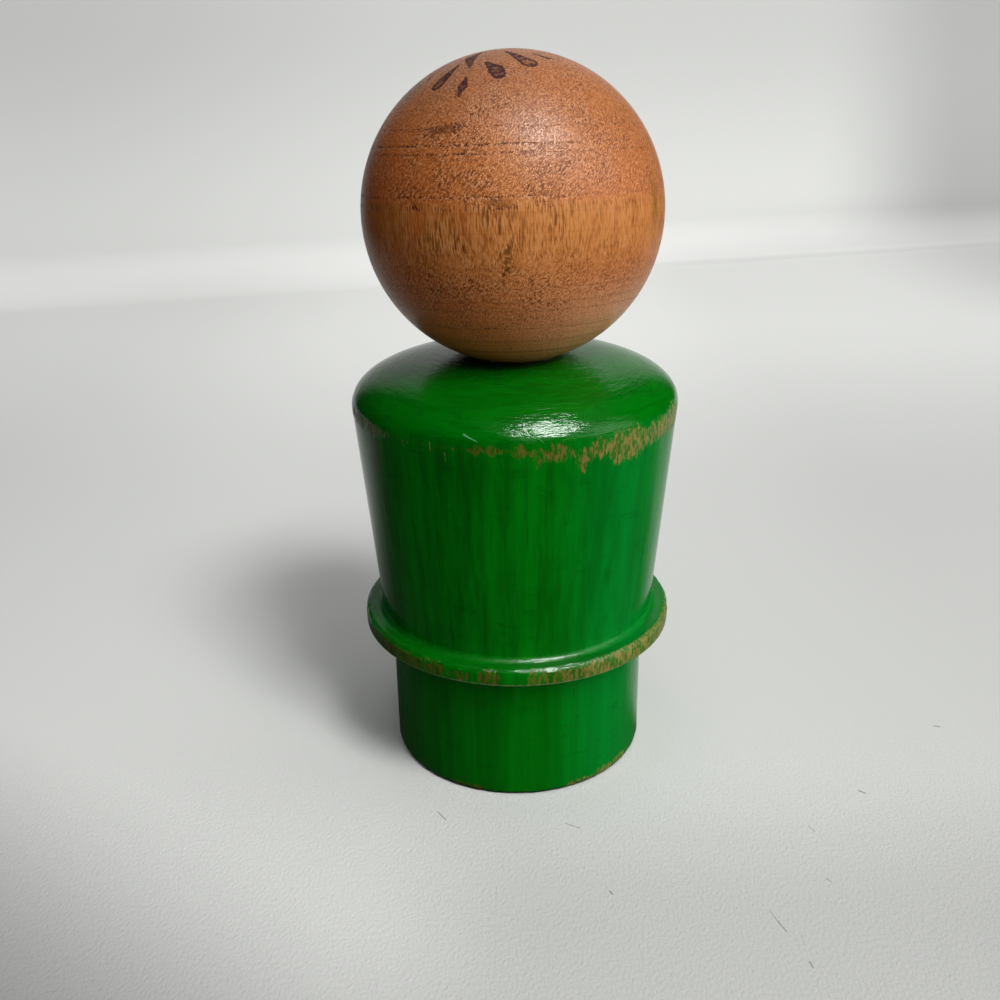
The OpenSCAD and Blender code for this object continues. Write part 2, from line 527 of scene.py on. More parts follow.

# %% [markdown]
# The body's green enamel: a glossy coat, brushed on thin enough for the grain to show through as
# soft upright streaks. On the side that faces the window and at the far left edge it is painted
# paler and bluer by compass angle: a painted reflection of the pale room.

# %% Green enamel: streaks
green, place, shader = start_material("green_enamel", IOR=1.45, Specular_IOR_Level=0.13)
x, y, z = split(place)
angle, reach_out = compass_and_reach(x, y)
body_grain = place_group(grain_group, Place=place, Fineness=1.1, Stretch=0.06)
fine_grain = place_group(grain_group, Place=place, Fineness=5.0, Stretch=0.03)
shade = calc("ADD", times(body_grain["Streaks"], 0.75), times(fine_grain["Streaks"], 0.25))
on_dome = soft_edge(z, SHOULDER_Z + 0.2, SHOULDER_Z + 1.2)
faces_up = split(add("NewGeometry").outputs["Normal"])[2]
on_top = calc("MAXIMUM", on_dome, soft_edge(faces_up, 0.4, 0.8))
shade = soft_edge(shade, 0.35, 0.67)
evenness = calc("MAXIMUM", on_top, soft_edge(z, FOOT_H, FOOT_H - 1, 0.0, 0.4))
shade = calc("MULTIPLY_ADD", calc("SUBTRACT", 0.5, shade), evenness, shade)
count_nodes("grain")

# %% Green enamel: colour
paint = mixed(shade, colour(0, 82, 2), colour(0, 118, 13))
# painted reflection: a paler, bluer green on the window side and at the far left edge
blue = calc("MAXIMUM", soft_edge(angle, 0.15, 0.8, 0.0, 0.8),
            soft_edge(angle, -0.95, -1.2, 0.0, 0.7))
blue = times(blue, calc("SUBTRACT", 1.0, on_dome))
paint = mixed(blue, paint, mixed(shade, colour(0, 108, 32), colour(0, 125, 41)))
swept = add("CombineXYZ", {0: times(angle, 2.6), 1: reach_out, 2: z}).outputs[0]
brush_marks = noise(swept, 1.2, detail=4, rough=0.6, warp=0.5)
brush_marks = times(on_top, soft_edge(brush_marks, 0.56, 0.38, 0.0, 0.3))
paint = mixed(brush_marks, paint, colour(0, 66, 0))
dull = noise(scaled(place, (1.0, 1.0, 2.2)), 0.5, detail=4, rough=0.65, warp=0.6)
paint = mixed(soft_edge(dull, 0.55, 0.72, 0.0, 0.35), paint, colour(0, 66, 6))
count_nodes("colour")

# %% [markdown]
# Worn paint. Paint goes first where the doll is gripped and knocked: on the arris of the shoulder,
# round the flange and at the foot. Each of the three edges has a table of stops round the body,
# and a colour ramp over the compass angle carries it: red is how much is worn there, green is the
# height of the wear's middle line and blue is half its width. One tooth of crumbs and upright
# streaks frays all three, because paint lets go along the grain.
#
# A separate mask for each patch would be easier to read, but a material with forty of them runs
# out of the renderer's room for values and turns black.

# %% Green enamel: wear tables
ARRIS_WEAR = [  # compass angle, how much is worn, middle height, half width in mm
    (-180, 0, 30, 0.8), (-86, 0.5, 30.1, 0.8), (-66, 0.8, 30.1, 0.7), (-52, 0.75, 30.1, 0.6),
    (-44, 0.35, 30.1, 0.5), (-15, 0.35, 30.2, 0.4), (-12.4, 0.9, 30.2, 0.5), (-10, 0.5, 30.2, 0.4),
    (-7.4, 0.95, 30.25, 0.5), (-5, 0.5, 30.2, 0.4), (-2, 0.4, 30.15, 0.4), (1.3, 1, 30.15, 0.6),
    (4.5, 0.5, 30, 0.5), (7, 0.8, 29.6, 1.0), (9.5, 0.5, 29.8, 0.8), (11.5, 1, 29.95, 0.75),
    (15.5, 1, 29.95, 0.75), (17, 0.6, 29.9, 0.6), (20.5, 0.5, 29.2, 1.2), (22.2, 0.9, 28.9, 1.4),
    (24, 0.7, 29.6, 1.0), (26.8, 0.95, 29.8, 0.9), (30, 0.9, 29.8, 0.9), (31.8, 0.6, 29.7, 0.9),
    (33.5, 1, 29.6, 1.3), (45.5, 1, 29.5, 1.2), (47.5, 0.8, 29.6, 0.9), (53, 0.95, 29.7, 0.9),
    (62, 0.8, 29.8, 1.0), (70, 0.95, 29.8, 1.2), (84, 0.5, 29.8, 1.0), (95, 0, 30, 0.8),
]
RIM_WEAR = [
    (-180, 0.5, 12, 0.8), (-90, 0.4, 12, 0.8), (-62, 0.8, 12, 0.8), (-45, 0.85, 12, 0.7),
    (-28, 0.85, 12, 0.8), (-25, 0.2, 12, 0.6), (-21, 0.75, 11.9, 0.6), (-16.5, 0.7, 11.9, 0.6),
    (-15, 0.1, 12, 0.6), (-13, 0.9, 12, 0.8), (-6.2, 0.95, 12, 0.8), (-5.4, 0, 12, 0.6),
    (3, 0, 12, 0.6), (3.8, 0.9, 12, 0.9), (9.6, 0.85, 12, 0.8), (10.6, 0.4, 12, 0.6),
    (12, 0.9, 12, 0.8), (21, 0.9, 12, 0.7), (30, 1, 12, 0.9), (48, 1, 12.1, 1.0),
    (72, 1, 12.1, 0.9), (110, 0.5, 12, 0.8), (179, 0.5, 12, 0.8),
]
FOOT_WEAR = [
    (-180, 0.5, 0.3, 0.5), (-60, 0.4, 0.3, 0.4), (-34, 0.1, 0.3, 0.4), (-29, 0.8, 0.3, 0.4),
    (-17, 0.75, 0.3, 0.4), (-14, 0.1, 0.3, 0.4), (2, 0.1, 0.3, 0.4), (4, 0.8, 0.3, 0.5),
    (6, 0.1, 0.3, 0.4), (21, 0.2, 0.3, 0.4), (24, 0.9, 0.3, 0.5), (33, 0.9, 0.3, 0.4),
    (35, 0.4, 0.4, 0.4), (38, 0.9, 0.45, 0.5), (47, 0.85, 0.4, 0.5), (56, 0.7, 0.6, 0.7),
    (64, 0.5, 0.3, 0.4), (110, 0.5, 0.3, 0.5), (179, 0.5, 0.3, 0.5),
]
print("stops:", len(ARRIS_WEAR), len(RIM_WEAR), len(FOOT_WEAR))

# %% Green enamel: wear by compass angle
turned = calc("MULTIPLY_ADD", angle, 1 / math.tau, 0.5)
LOWEST, SPAN = {"arris": 28, "rim": 11, "foot": 0}, 4


def wear_by_angle(lowest, table):
    """How much is worn, at what height and how broadly, by compass angle from the front."""
    ramp = add("ValToRGB", {0: turned})
    stops = ramp.color_ramp.elements
    while len(stops) < len(table):
        stops.new(0.5)
    for stop, (degrees, amount, middle, half) in zip(stops, table):
        stop.position = degrees / 360 + 0.5
        stop.color = (amount, (middle - lowest) / SPAN, half / SPAN, 1)
    amount, middle, half = add("SeparateColor", {0: ramp.outputs[0]}).outputs[:3]
    middle = calc("MULTIPLY_ADD", middle, SPAN, lowest)
    return amount, middle, times(half, SPAN)

# %% Green enamel: wear
upright_tooth = noise(scaled(place, (1.0, 1.0, 0.34)), 4.4, detail=3, rough=0.65)
crumble = noise(place, 2.6, detail=3, rough=0.7)
CRUMBS, STREAKS, TOOTH_MIDDLE = 1.6, 2.4, 1.95
tooth = calc("MULTIPLY_ADD", crumble, CRUMBS, times(upright_tooth, STREAKS))
tooth = calc("SUBTRACT", tooth, TOOTH_MIDDLE)
behind = soft_edge(calc("ABSOLUTE", angle), 1.4, 1.9)
behind = times(behind, soft_edge(noise(place, 0.24, detail=1), 0.42, 0.6))
bands = []
for edge, table in (("arris", ARRIS_WEAR), ("rim", RIM_WEAR), ("foot", FOOT_WEAR)):
    amount, middle, half = wear_by_angle(LOWEST[edge], table)
    amount = calc("MAXIMUM", amount, times(behind, 0.8))
    band = place_group(wear_group, Height=z, Middle=middle, Half_Width=half, Amount=amount,
                       Tooth=tooth)["Mask"]
    if edge == "rim":
        band = times(band, soft_edge(reach_out, FLANGE_R - 0.4, FLANGE_R - 0.2))
    bands.append(band)
sparing = soft_edge(upright_tooth, 0.38, 0.62, 0.3, 0.75)
worn = times(joined("MAXIMUM", bands), sparing)
count_nodes("wear")

# %% [markdown]
# Small marks: short pale flecks, two dark smears on the foot, and painted highlights: pale lines
# where scratches on the dome catch the light, and one dark bar across the dome's highlight. They
# are drawn on an unrolled map of the body, where one axis is the way round in mm and the other is
# the height.

# %% Green enamel: flecks and painted scratch highlights
FLECKS_AND_PAINTED_GLINTS = [  # start angle and height, end angle and height, radius, strength, colour
    (-39, 30.15, -38.5, 29.6, 0.05, 0.7, colour(120, 140, 84)),
    (-28, 30.4, -27.8, 29.8, 0.06, 0.8, colour(140, 150, 96)),
    (-22.8, 29.8, -22.4, 29.1, 0.05, 0.7, colour(120, 150, 90)),
    # the next two pale lines are painted highlights of scratches, and the dark line after them is
    # a painted dark bar in the dome's highlight
    (-16.6, 31.2, -11.9, 30.8, 0.07, 0.8, colour(96, 180, 130)),
    (5.1, 31.45, 9.2, 30.7, 0.06, 0.8, colour(90, 176, 100)),
    (12.5, 32.08, 19.2, 31.83, 0.05, 0.9, colour(0, 40, 6)),
    (25, 9.2, 24.6, 8.4, 0.08, 0.5, colour(0, 50, 2)),
    (20.5, 6.1, 27, 5.6, 0.07, 0.3, colour(0, 50, 2)),
    # a painted scratch highlight on the far side
    (164, 31.2, 172, 30.6, 0.06, 0.8, colour(90, 170, 110)),
]
around = times(angle, SHOULDER_R)
unrolled = add("CombineXYZ", {0: around, 2: z}).outputs[0]


def on_side(degrees, at_height):
    """A point of the unrolled body in mm, by compass angle and height."""
    return (SHOULDER_R * math.radians(degrees), 0, at_height)


skin = paint
for a0, z0, a1, z1, radius, strength, tone in FLECKS_AND_PAINTED_GLINTS:
    fleck_or_glint = place_group(mark_group, Place=unrolled, Tail=on_side(a0, z0), Tip=on_side(a1, z1),
                        Tail_Radius=radius, Tip_Radius=radius * 0.6, Fray=radius)["Mask"]
    skin = mixed(times(fleck_or_glint, strength), skin, tone)
print("flecks and scratches:", len(FLECKS_AND_PAINTED_GLINTS))

# %% Green enamel: bare wood and painted shade
LIP_Z, COVE_Z = FOOT_H + 0.1, FLANGE_TOP + 0.4
# bare wood, painted darker on the side away from the window and paler on the window side: painted
# shade and light
bare_wood_and_side_shade = mixed(soft_edge(angle, -0.1, 0.75), colour(100, 80, 26), colour(152, 123, 69))
bare_wood_and_side_shade = mixed(soft_edge(upright_tooth, 0.56, 0.42, 0.0, 0.7), bare_wood_and_side_shade, colour(66, 54, 14))
skin = mixed(worn, skin, bare_wood_and_side_shade)
lip = soft_edge(apart(z, LIP_Z), 0.13, 0.05)
lip = times(lip, soft_edge(reach_out, FLANGE_R - 0.3, FLANGE_R - 0.1))
lip = times(lip, soft_edge(crumble, 0.36, 0.56, 0.2, 0.7))
skin = mixed(lip, skin, colour(104, 128, 84))
# painted contact shadow: the lowest quarter millimetre of the foot is darkened
skin = mixed(soft_edge(z, 0.25, 0.0, 0.0, 0.7), skin, colour(50, 34, 18))
# painted shade: the dome goes near black close under the ball, reaching further on the side away
# from the window
under_ball = calc("MULTIPLY_ADD", x, 0.2, reach_out)
painted_shade_under_ball = times(soft_edge(under_ball, 5.6, 3.9, 0.0, 0.9), on_dome)
skin = mixed(painted_shade_under_ball, skin, colour(0, 8, 0))
count_nodes("painted_shade_under_ball")

# %% Green enamel: gloss and relief
GLOSS, WORN_DULLER, COVE_DULLER = 0.14, 0.4, 0.14
GRAIN_DEPTH, PIMPLE_DEPTH, WEAR_DEPTH = 0.010, 0.02, 0.03
hollow = soft_edge(apart(z, COVE_Z), 0.7, 0.3, 0.0, COVE_DULLER)
rough = calc("ADD", calc("MULTIPLY_ADD", worn, WORN_DULLER, GLOSS), hollow)
brushed = noise(swept, 2.2, detail=3, rough=0.6)
in_front = soft_edge(apart(angle, 0.2), 1.0, 0.5, 0.03, 0.11)
brushed = times(times(brushed, on_top), in_front)
height = calc("ADD", times(fine_grain["Streaks"], GRAIN_DEPTH), brushed)
pimples = times(noise(place, 3.0, detail=3, rough=0.7), on_top)
height = calc("ADD", height, times(pimples, PIMPLE_DEPTH))
height = calc("SUBTRACT", height, times(worn, WEAR_DEPTH))
link_finish(shader, height, Base_Color=skin, Roughness=rough)
dress(body, green)

# %% [markdown]
# The head's paint is thinner than the body's and has gone satin. Its colour wanders: pinkish on
# the crown and the doll's left, browner on its right and below. A flat colour with one noise would
# look like plastic, so the wandering has two parts: a slow drift across the ball, given by simple
# soft edges, and cloudy patches laid over it. Part of the drift is painted light and shade: the
# paint is darker and more saturated on the side away from the window, and the lower part is
# painted paler, most on the window side.
#
# The ball was drilled for its pin a few degrees off its turning axis, so the lathe's rings lean.
# The material's place is centred on the ball and leaned the same way, and everything that the
# lathe or the grain made is measured from there.

# %% Flesh paint: colour
BALL_LEAN = (5.04, 0.88, 0)
flesh, place, shader = start_material("thin_flesh_paint", (0, 0, HEAD_Z), BALL_LEAN, IOR=1.45,
                                      Specular_IOR_Level=0.11)
x, y, height = split(place)
clouds = noise(place, 0.25, detail=4, rough=0.6)
drift = calc("ADD", x, times(calc("SUBTRACT", clouds, 0.5), 14.0))
# painted shade: darker, more saturated paint on the side away from the window
paint = mixed(soft_edge(drift, -10, 2), colour(190, 100, 42), colour(198, 122, 66))
paint = mixed(soft_edge(drift, -1, 9), paint, colour(186, 112, 64))
paint = mixed(soft_edge(calc("ADD", height, times(drift, 0.3)), 3, 8), paint, colour(174, 106, 60))
# painted light: the lower part is painted paler, most on the window side
low = mixed(soft_edge(x, -2, 8), colour(206, 118, 66), colour(236, 176, 134))
paint = mixed(times(soft_edge(height, -3.0, -8.5), 0.75), paint, low)
count_nodes("colour")

# %% [markdown]
# Grain and pits. On the side of the ball the grain shows as fine upright lines. Above and below,
# the tool tore small pits that slant. A Vector Rotate node turns the pattern further round the
# axis the higher it is, which slants it on every side of the ball alike. A fine grit of dark and
# pale specks lies over both, drawn out upright in a belt round the middle, where hands have
# rubbed the paint to ochre.

# %% Flesh paint: grain and pits
SLANT = 0.05
BELT_FOOT, BELT_TOP = (-4.8, -0.6), (1.6, 0.6)
straight = add("Clamp", {"Value": height, "Min": -2.5, "Max": 1.5}).outputs[0]
twist = times(calc("SUBTRACT", height, straight), -SLANT)
slanted = add("VectorRotate", {"Vector": place, "Angle": twist}, rotation_type="Z_AXIS").outputs[0]
lines = place_group(grain_group, Place=slanted, Fineness=3.0, Stretch=0.16)
pits = place_group(grain_group, Place=slanted, Fineness=6.2, Stretch=0.5, Pore_Size=0.52,
                   Pore_Share=0.75)["Pores"]
dashes = place_group(grain_group, Place=place, Fineness=6.4, Stretch=0.12, Pore_Size=0.5,
                     Pore_Share=0.8)["Pores"]
shorter = scaled(slanted, (1.0, 1.0, 0.7))
longer = scaled(place, (1.0, 1.0, 0.16))
full = soft_edge(noise(place, 0.5, detail=3, rough=0.6), 0.35, 0.65, 0.7, 1.15)
band = times(soft_edge(height, *BELT_FOOT), soft_edge(height, *BELT_TOP))
count_nodes("grain")

# %% Flesh paint: grit
grit = noise(shorter, 7.6, detail=1, rough=0.9)
upright_grit = noise(longer, 8.5, detail=1)
gathered = noise(longer, 0.9, rough=0.6)
upright_grit = calc("ADD", upright_grit, soft_edge(gathered, 0.4, 0.62, 0.09, -0.03))
grit = blended(band, grit, upright_grit)
strong = times(soft_edge(drift, 1, 9, 1.0, 0.7), soft_edge(height, -3.5, -8.5, 1.0, 0.45))
strong = times(strong, soft_edge(x, -10.5, -5, 0.6, 1.0))
strong = times(strong, calc("MULTIPLY_ADD", band, -0.2, full))
sunk = times(soft_edge(grit, 0.50, 0.38), strong, clamp=True)
raised = times(soft_edge(grit, 0.52, 0.64), strong, clamp=True)
count_nodes("grit")

# %% Flesh paint: pits and rubbed belt
dense = soft_edge(noise(place, 0.5), 0.3, 0.7, 0.4, 1.0)
pits = blended(band, pits, dashes)
pitted = times(times(soft_edge(pits, 0.1, 0.6), dense), strong)
rubbed = times(band, soft_edge(calc("ADD", lines["Streaks"], clouds), 0.75, 1.05))
# rubbed ochre, painted darker on the side away from the window: painted shade
rubbed_tone_and_shade = mixed(soft_edge(x, -9, 5), colour(176, 104, 42), colour(188, 122, 60))
paint = mixed(times(rubbed, 0.65), paint, rubbed_tone_and_shade)
raised_tone = mixed(band, colour(232, 178, 134), colour(222, 162, 102))
paint = mixed(times(raised, 0.42), paint, raised_tone)
paint = mixed(times(sunk, 0.72), paint, colour(104, 50, 22))
paint = mixed(times(pitted, 0.6), paint, colour(84, 36, 12))
count_nodes("belt")

# %% [markdown]
# Rings and rubs. The lathe left a few rings; the paint has filled most of their length, so they
# show as rows of dots. Five smudges and one scratch are marks of use, and a grey-olive patch on
# the crown is a painted sheen.

# %% Flesh paint: rings
RINGS = [(5.85, 0.10, 0.42), (4.74, 0.10, 0.22), (4.2, 0.09, 0.32), (1.5, 0.10, 0.36),
         (0.8, 0.30, 0.5), (-4.9, 0.07, 0.6), (-7.4, 0.08, 0.6)]
rings = []
for ring_height, width, broken in RINGS:
    rings.append(place_group(ring_group, Place=place, Height=ring_height, Width=width,
                             Broken=broken, Wander=0.3)["Mask"])
tooling = noise(add("CombineXYZ", {2: height}).outputs[0], 3.0, detail=3, rough=0.7)
tooling = times(soft_edge(tooling, 0.5, 0.35), soft_edge(height, -2, -8, 0.12, 0.5))
filled = times(soft_edge(grit, 0.60, 0.46), soft_edge(drift, -3, 5, 1.0, 0.35))
rings = times(joined("MAXIMUM", rings), filled)
paint = mixed(times(rings, 0.9), paint, colour(70, 26, 6))
paint = mixed(tooling, paint, colour(96, 50, 22))
print("rings:", len(RINGS))

# %% Flesh paint: smudges, a scratch and a painted sheen
def on_ball(degrees, at_height):
    """A point of the ball's skin, by compass angle and height in the ball's own frame."""
    radius, angle = math.sqrt(HEAD_R ** 2 - at_height ** 2), math.radians(degrees)
    return (radius * math.sin(angle), -radius * math.cos(angle), at_height)


RUBS_AND_SHEEN = [  # start angle and height, end angle and height, radius, fray, strength, colour
    (-32, 5.6, -21, 5.9, 0.45, 1.9, 0.7, colour(90, 40, 12)),
    (-2, -1.8, -3, -3.4, 0.28, 1.4, 0.7, colour(84, 52, 4)),
    (62, 1.5, 63, 0.0, 0.7, 2.2, 0.4, colour(104, 84, 20)),
    (-7, 1.2, -2, 1.0, 0.4, 1.6, 0.5, colour(104, 56, 8)),
    (150, 2.2, 158, 0.6, 0.8, 2.4, 0.4, colour(110, 66, 24)),
    (-4, 3.7, -1, 3.2, 0.06, 0.1, 0.8, colour(70, 24, 8)),
    # painted sheen: a grey-olive patch on the crown
    (-78, 8.6, -66, 8.2, 1.3, 2.5, 0.3, colour(110, 100, 60)),
]
for a0, h0, a1, h1, radius, fray, strength, tone in RUBS_AND_SHEEN:
    rub_or_sheen = place_group(mark_group, Place=place, Tail=on_ball(a0, h0), Tip=on_ball(a1, h1),
                      Tail_Radius=radius, Tip_Radius=radius, Fray=fray, Softness=0.3)["Mask"]
    paint = mixed(times(rub_or_sheen, strength), paint, tone)
print("rubs:", len(RUBS_AND_SHEEN))

# %% [markdown]
# The hair is a fan of ink strokes round the crown. To draw them, the top of the ball is unrolled
# flat, as an atlas draws the pole: the distance from the pole is kept true, and each stroke is
# then a line from a tail to a tip, given by compass angle and tilt in degrees. A stroke that
# swells and thins again is two marks end to end.

# %% Flesh paint: hair strokes
HAIR = [  # tail angle, tail tilt, tip angle, tip tilt, tail radius, tip radius, fray, hollow
    (-71, 25, -66.7, 34, 0.05, 0.15, 0.20, 0.2),
    (-51.3, 24, -48.4, 32, 0.10, 0.44, 0.24, 0.55),
    (-48.4, 32, -48, 36.4, 0.44, 0.52, 0.24, 0.55),
    (-30.6, 31.6, -28.9, 36.7, 0.08, 0.40, 0.24, 0.3),
    (-28.9, 36.7, -28.1, 41, 0.40, 0.16, 0.24, 0.3),
    (-61.2, 11.4, -52.3, 18.1, 0.10, 0.46, 0.25, 0.4),
    (-52.3, 18.1, -34.8, 26, 0.50, 0.10, 0.25, 0.3),
    (-24.6, 21.7, -11.4, 27, 0.12, 0.58, 0.30, 0.45),
    (-11.4, 27, -8.5, 30, 0.60, 0.54, 0.35, 0.5),
    (-12.2, 10, 10.5, 18.6, 0.10, 0.46, 0.35, 0.4),
    (10.5, 18.6, 16.5, 22.6, 0.46, 0.62, 0.35, 0.7),
    (33, 14.2, 41, 19.0, 0.10, 0.18, 0.15, 0),
    (41, 19.6, 49, 19.8, 0.10, 0.08, 0.12, 0),
    (135, 16, 140, 33, 0.08, 0.40, 0.24, 0.5),
    (160, 15, 164, 29, 0.08, 0.44, 0.24, 0.5),
    (-174, 16, -171, 36, 0.10, 0.38, 0.24, 0.6),
    (-150, 14, -147, 29, 0.08, 0.42, 0.24, 0.4),
    (-122, 17, -119, 33, 0.08, 0.34, 0.24, 0.5),
]
print("hair marks:", len(HAIR))

# %% Flesh paint: unrolled crown
def on_crown(degrees, tilt):
    """A point of the unrolled crown in mm, by compass angle and tilt from the pole."""
    span = HEAD_R * math.radians(tilt)
    return (span * math.sin(math.radians(degrees)), -span * math.cos(math.radians(degrees)), 0)


upright_place = add("VectorMath", {0: add("TexCoord").outputs["Object"], 1: (0, 0, -HEAD_Z * MM)},
                    operation="ADD").outputs[0]
facing = add("VectorMath", {0: upright_place}, operation="NORMALIZE").outputs[0]
fx, fy, fz = split(facing)
tilt = calc("ARCCOSINE", fz)
across = calc("DIVIDE", tilt, calc("MAXIMUM", calc("SINE", tilt), 0.001))
across = times(across, HEAD_R)
crown = add("CombineXYZ", {0: times(fx, across), 1: times(fy, across)})
count_nodes("crown")

# %% Flesh paint: ink
speckle = soft_edge(noise(place, 2.8, detail=3, rough=0.7), 0.46, 0.56)
strokes = []
for a0, tilt0, a1, tilt1, tail_radius, tip_radius, fray, hollow in HAIR:
    mark = place_group(mark_group, Place=crown.outputs[0], Tail=on_crown(a0, tilt0),
                       Tip=on_crown(a1, tilt1), Tail_Radius=tail_radius, Tip_Radius=tip_radius,
                       Fray=fray)
    gaps = times(times(soft_edge(mark["Inside"], 0.2, 0.5), speckle), hollow)
    strokes.append(calc("SUBTRACT", mark["Mask"], gaps, clamp=True))
ink = joined("MAXIMUM", strokes)
paint = mixed(times(ink, 0.98), paint, colour(56, 0, 6))
count_nodes("ink")

# %% Flesh paint: shader
SATIN, PIT_DULLER, INK_DULLER = 0.28, 0.15, 0.2
GRIT_DEPTH, PIT_DEPTH, RING_DEPTH, TOOLING_DEPTH = 0.012, 0.02, 0.03, 0.02
rough = calc("ADD", calc("MULTIPLY_ADD", sunk, PIT_DULLER, SATIN), times(ink, INK_DULLER))
cut = calc("ADD", times(pitted, PIT_DEPTH), times(rings, RING_DEPTH))
relief = times(calc("SUBTRACT", raised, sunk), GRIT_DEPTH)
relief = calc("SUBTRACT", relief, cut)
relief = calc("SUBTRACT", relief, times(tooling, TOOLING_DEPTH))
link_finish(shader, relief, Base_Color=paint, Roughness=rough)
dress(head, flesh)

# %% [markdown]
# The pin's steel is drawn wire with a bright cut head: fine rings round the axis from the
# tooling, and a little dullness where it has been handled.

# %% Drawn steel
steel, place, shader = start_material("drawn_steel", Metallic=1.0)
rings_fine = noise(scaled(place, (0.2, 0.2, 3.0)), 5.0, detail=3)
dull = noise(place, 0.8, detail=3)
link_finish(shader, rings_fine, 0.01 * MM, 0.6,
            Base_Color=mixed(dull, colour(170, 170, 166), colour(206, 206, 202)),
            Roughness=soft_edge(rings_fine, 0.3, 0.7, 0.22, 0.42))
dress(pin, steel)

# %% [markdown]
# The doll stands on a pale sheet, and a second length of it is folded up behind. One strip of mesh
# makes both: a plane whose far edge is extruded up a short bend and then a wall. The fold runs
# aslant to the camera, so the plane's far corners are moved to different distances.

# %% Floor and backdrop
FOLD_Y, FOLD_SLANT, FOLD_R = 190, 0.255, 14
FOLD_STEPS, FOLD_TURN = 8, math.radians(74)
SHEET_REACH, WALL_H = 1.0, 0.9
bpy.ops.object.select_all(action="DESELECT")
bpy.ops.mesh.primitive_plane_add(size=2 * SHEET_REACH)
floor = bpy.context.object
floor.name = "floor_sweep"
start_edit(floor)
for side in (-1, 1):
    pick(floor, "VERT", lambda p: p.y > 0 and p.x * side > 0)
    bpy.ops.transform.translate(value=(0, FOLD_Y * MM - SHEET_REACH + side * FOLD_SLANT, 0))
pick(floor, "VERT", lambda p: p.y > -600)
for i in range(FOLD_STEPS):
    a0, a1 = (FOLD_TURN * k / FOLD_STEPS for k in (i, i + 1))
    step = Vector((0, math.sin(a1) - math.sin(a0), math.cos(a0) - math.cos(a1)))
    bpy.ops.mesh.extrude_region_move(TRANSFORM_OT_translate={"value": step * FOLD_R * MM})
wall_up = Vector((0, math.cos(FOLD_TURN), math.sin(FOLD_TURN))) * WALL_H
bpy.ops.mesh.extrude_region_move(TRANSFORM_OT_translate={"value": wall_up})
bpy.ops.object.mode_set(mode="OBJECT")
bpy.ops.object.shade_smooth()
print(floor.name, "has", len(floor.data.polygons), "faces")

# %% [markdown]
# The sheet isn't evenly bright. A room's light pools and falls off, so its tone is a product of
# soft edges over the place: a dark near corner on the left, a dimmer foreground, a brighter far
# floor, and a backdrop that dims upwards and at its right end. Diffuse rays see a darker sheet
# than the camera does, because the photograph's doll takes little light from below. Reflections
# see the sheet only as wide as it was: past its ends the room is dark, and so is the floor in
# front of the doll.

# %% Floor and backdrop: tone by place
paper, place, shader = start_material("pale_sheet", Roughness=0.6, Specular_IOR_Level=0.2)
x, y, z = split(place)
slanting = calc("ADD", times(x, 0.555), times(y, 0.832))
wall = soft_edge(z, 0.5, 10)
from_fold = soft_edge(x, 78, 124, 1.0, soft_edge(z, 55, 12, 0.76, 0.60))
corner = soft_edge(x, -76, -50, 0.98, soft_edge(y, -62, -36, 0.98, 0.44))
on_floor = [
    soft_edge(slanting, -48, -24, corner, 1.0),
    soft_edge(y, -26, -6, soft_edge(x, -14, 2, 1.02, 0.80), 1.0),
    soft_edge(x, 15, 50, 1.0, 0.91),
    soft_edge(x, -80, -25, 0.90, 1.0),
    soft_edge(y, 45, 150, 1.0, soft_edge(x, -90, 30, 1.20, 1.36)),
    soft_edge(y, 120, 190, 1.0, soft_edge(x, 80, 130, 1.0, 0.80)),
]
on_wall = [soft_edge(z, 62, 12, 1.12, 1.42), soft_edge(x, -112, 0, 0.90, 1.08), from_fold]
tone = blended(wall, joined("MULTIPLY", on_floor), joined("MULTIPLY", on_wall))
# painted shade: the tone is darkened along the crease of the fold and up the bend on the right
crease = times(soft_edge(z, 0.05, 0.4), soft_edge(z, 1.4, 0.6))
crease = times(crease, soft_edge(x, 5, 60))
bend = times(soft_edge(z, 0.4, 2.0), soft_edge(z, 16, 7))
crease = calc("MAXIMUM", crease, times(bend, soft_edge(x, 30, 105, 0.0, 0.9)))
tone = times(tone, calc("MULTIPLY_ADD", crease, -0.10, 1.0))
count_nodes("tone")

# %% Floor and backdrop: what gloss sees
rays = add("LightPath").outputs
compass, from_foot = compass_and_reach(x, y)
compass = calc("SUBTRACT", compass, soft_edge(from_foot, 15, 32, -0.12, 0.28))
mirrored = blended(soft_edge(x, -6, 6), soft_edge(y, 6, 42, 0.1, 0.9),
                   soft_edge(compass, 1.56, 1.92, 0.1, 0.9))
mirrored = blended(wall, mirrored, 1.0)
mirrored = calc("MULTIPLY_ADD", rays["Is Glossy Ray"], calc("SUBTRACT", mirrored, 1.0), 1.0)
tone = times(tone, mirrored)
pale = mixed(1.0, colour(212, 213, 210), tone, "MULTIPLY")
count_nodes("reflection")

# %% Floor and backdrop: lint
LINT = [  # places on the floor in mm: from, to, radius
    (-6.4, -12.5, -5.7, -13.5, 0.07), (3.6, -14.0, 4.7, -14.6, 0.06),
    (6.4, -21.5, 6.6, -21.8, 0.08), (27.3, -10.2, 27.7, -10.5, 0.10),
    (17.4, -23.6, 17.7, -24.5, 0.05), (17.7, -24.5, 18.1, -25.5, 0.07),
    (19.0, -28.2, 19.1, -28.7, 0.08), (22.1, -20.3, 22.4, -20.7, 0.06),
    (22.2, -14.5, 22.6, -15.2, 0.05), (36.4, -1.2, 36.8, -1.3, 0.10),
]
for x0, y0, x1, y1, radius in LINT:
    speck = place_group(mark_group, Place=place, Tail=(x0, y0, 0), Tip=(x1, y1, 0),
                        Tail_Radius=radius, Tip_Radius=radius, Fray=0.05)["Mask"]
    pale = mixed(times(speck, 0.6), pale, colour(96, 96, 92))
print("lint:", len(LINT))

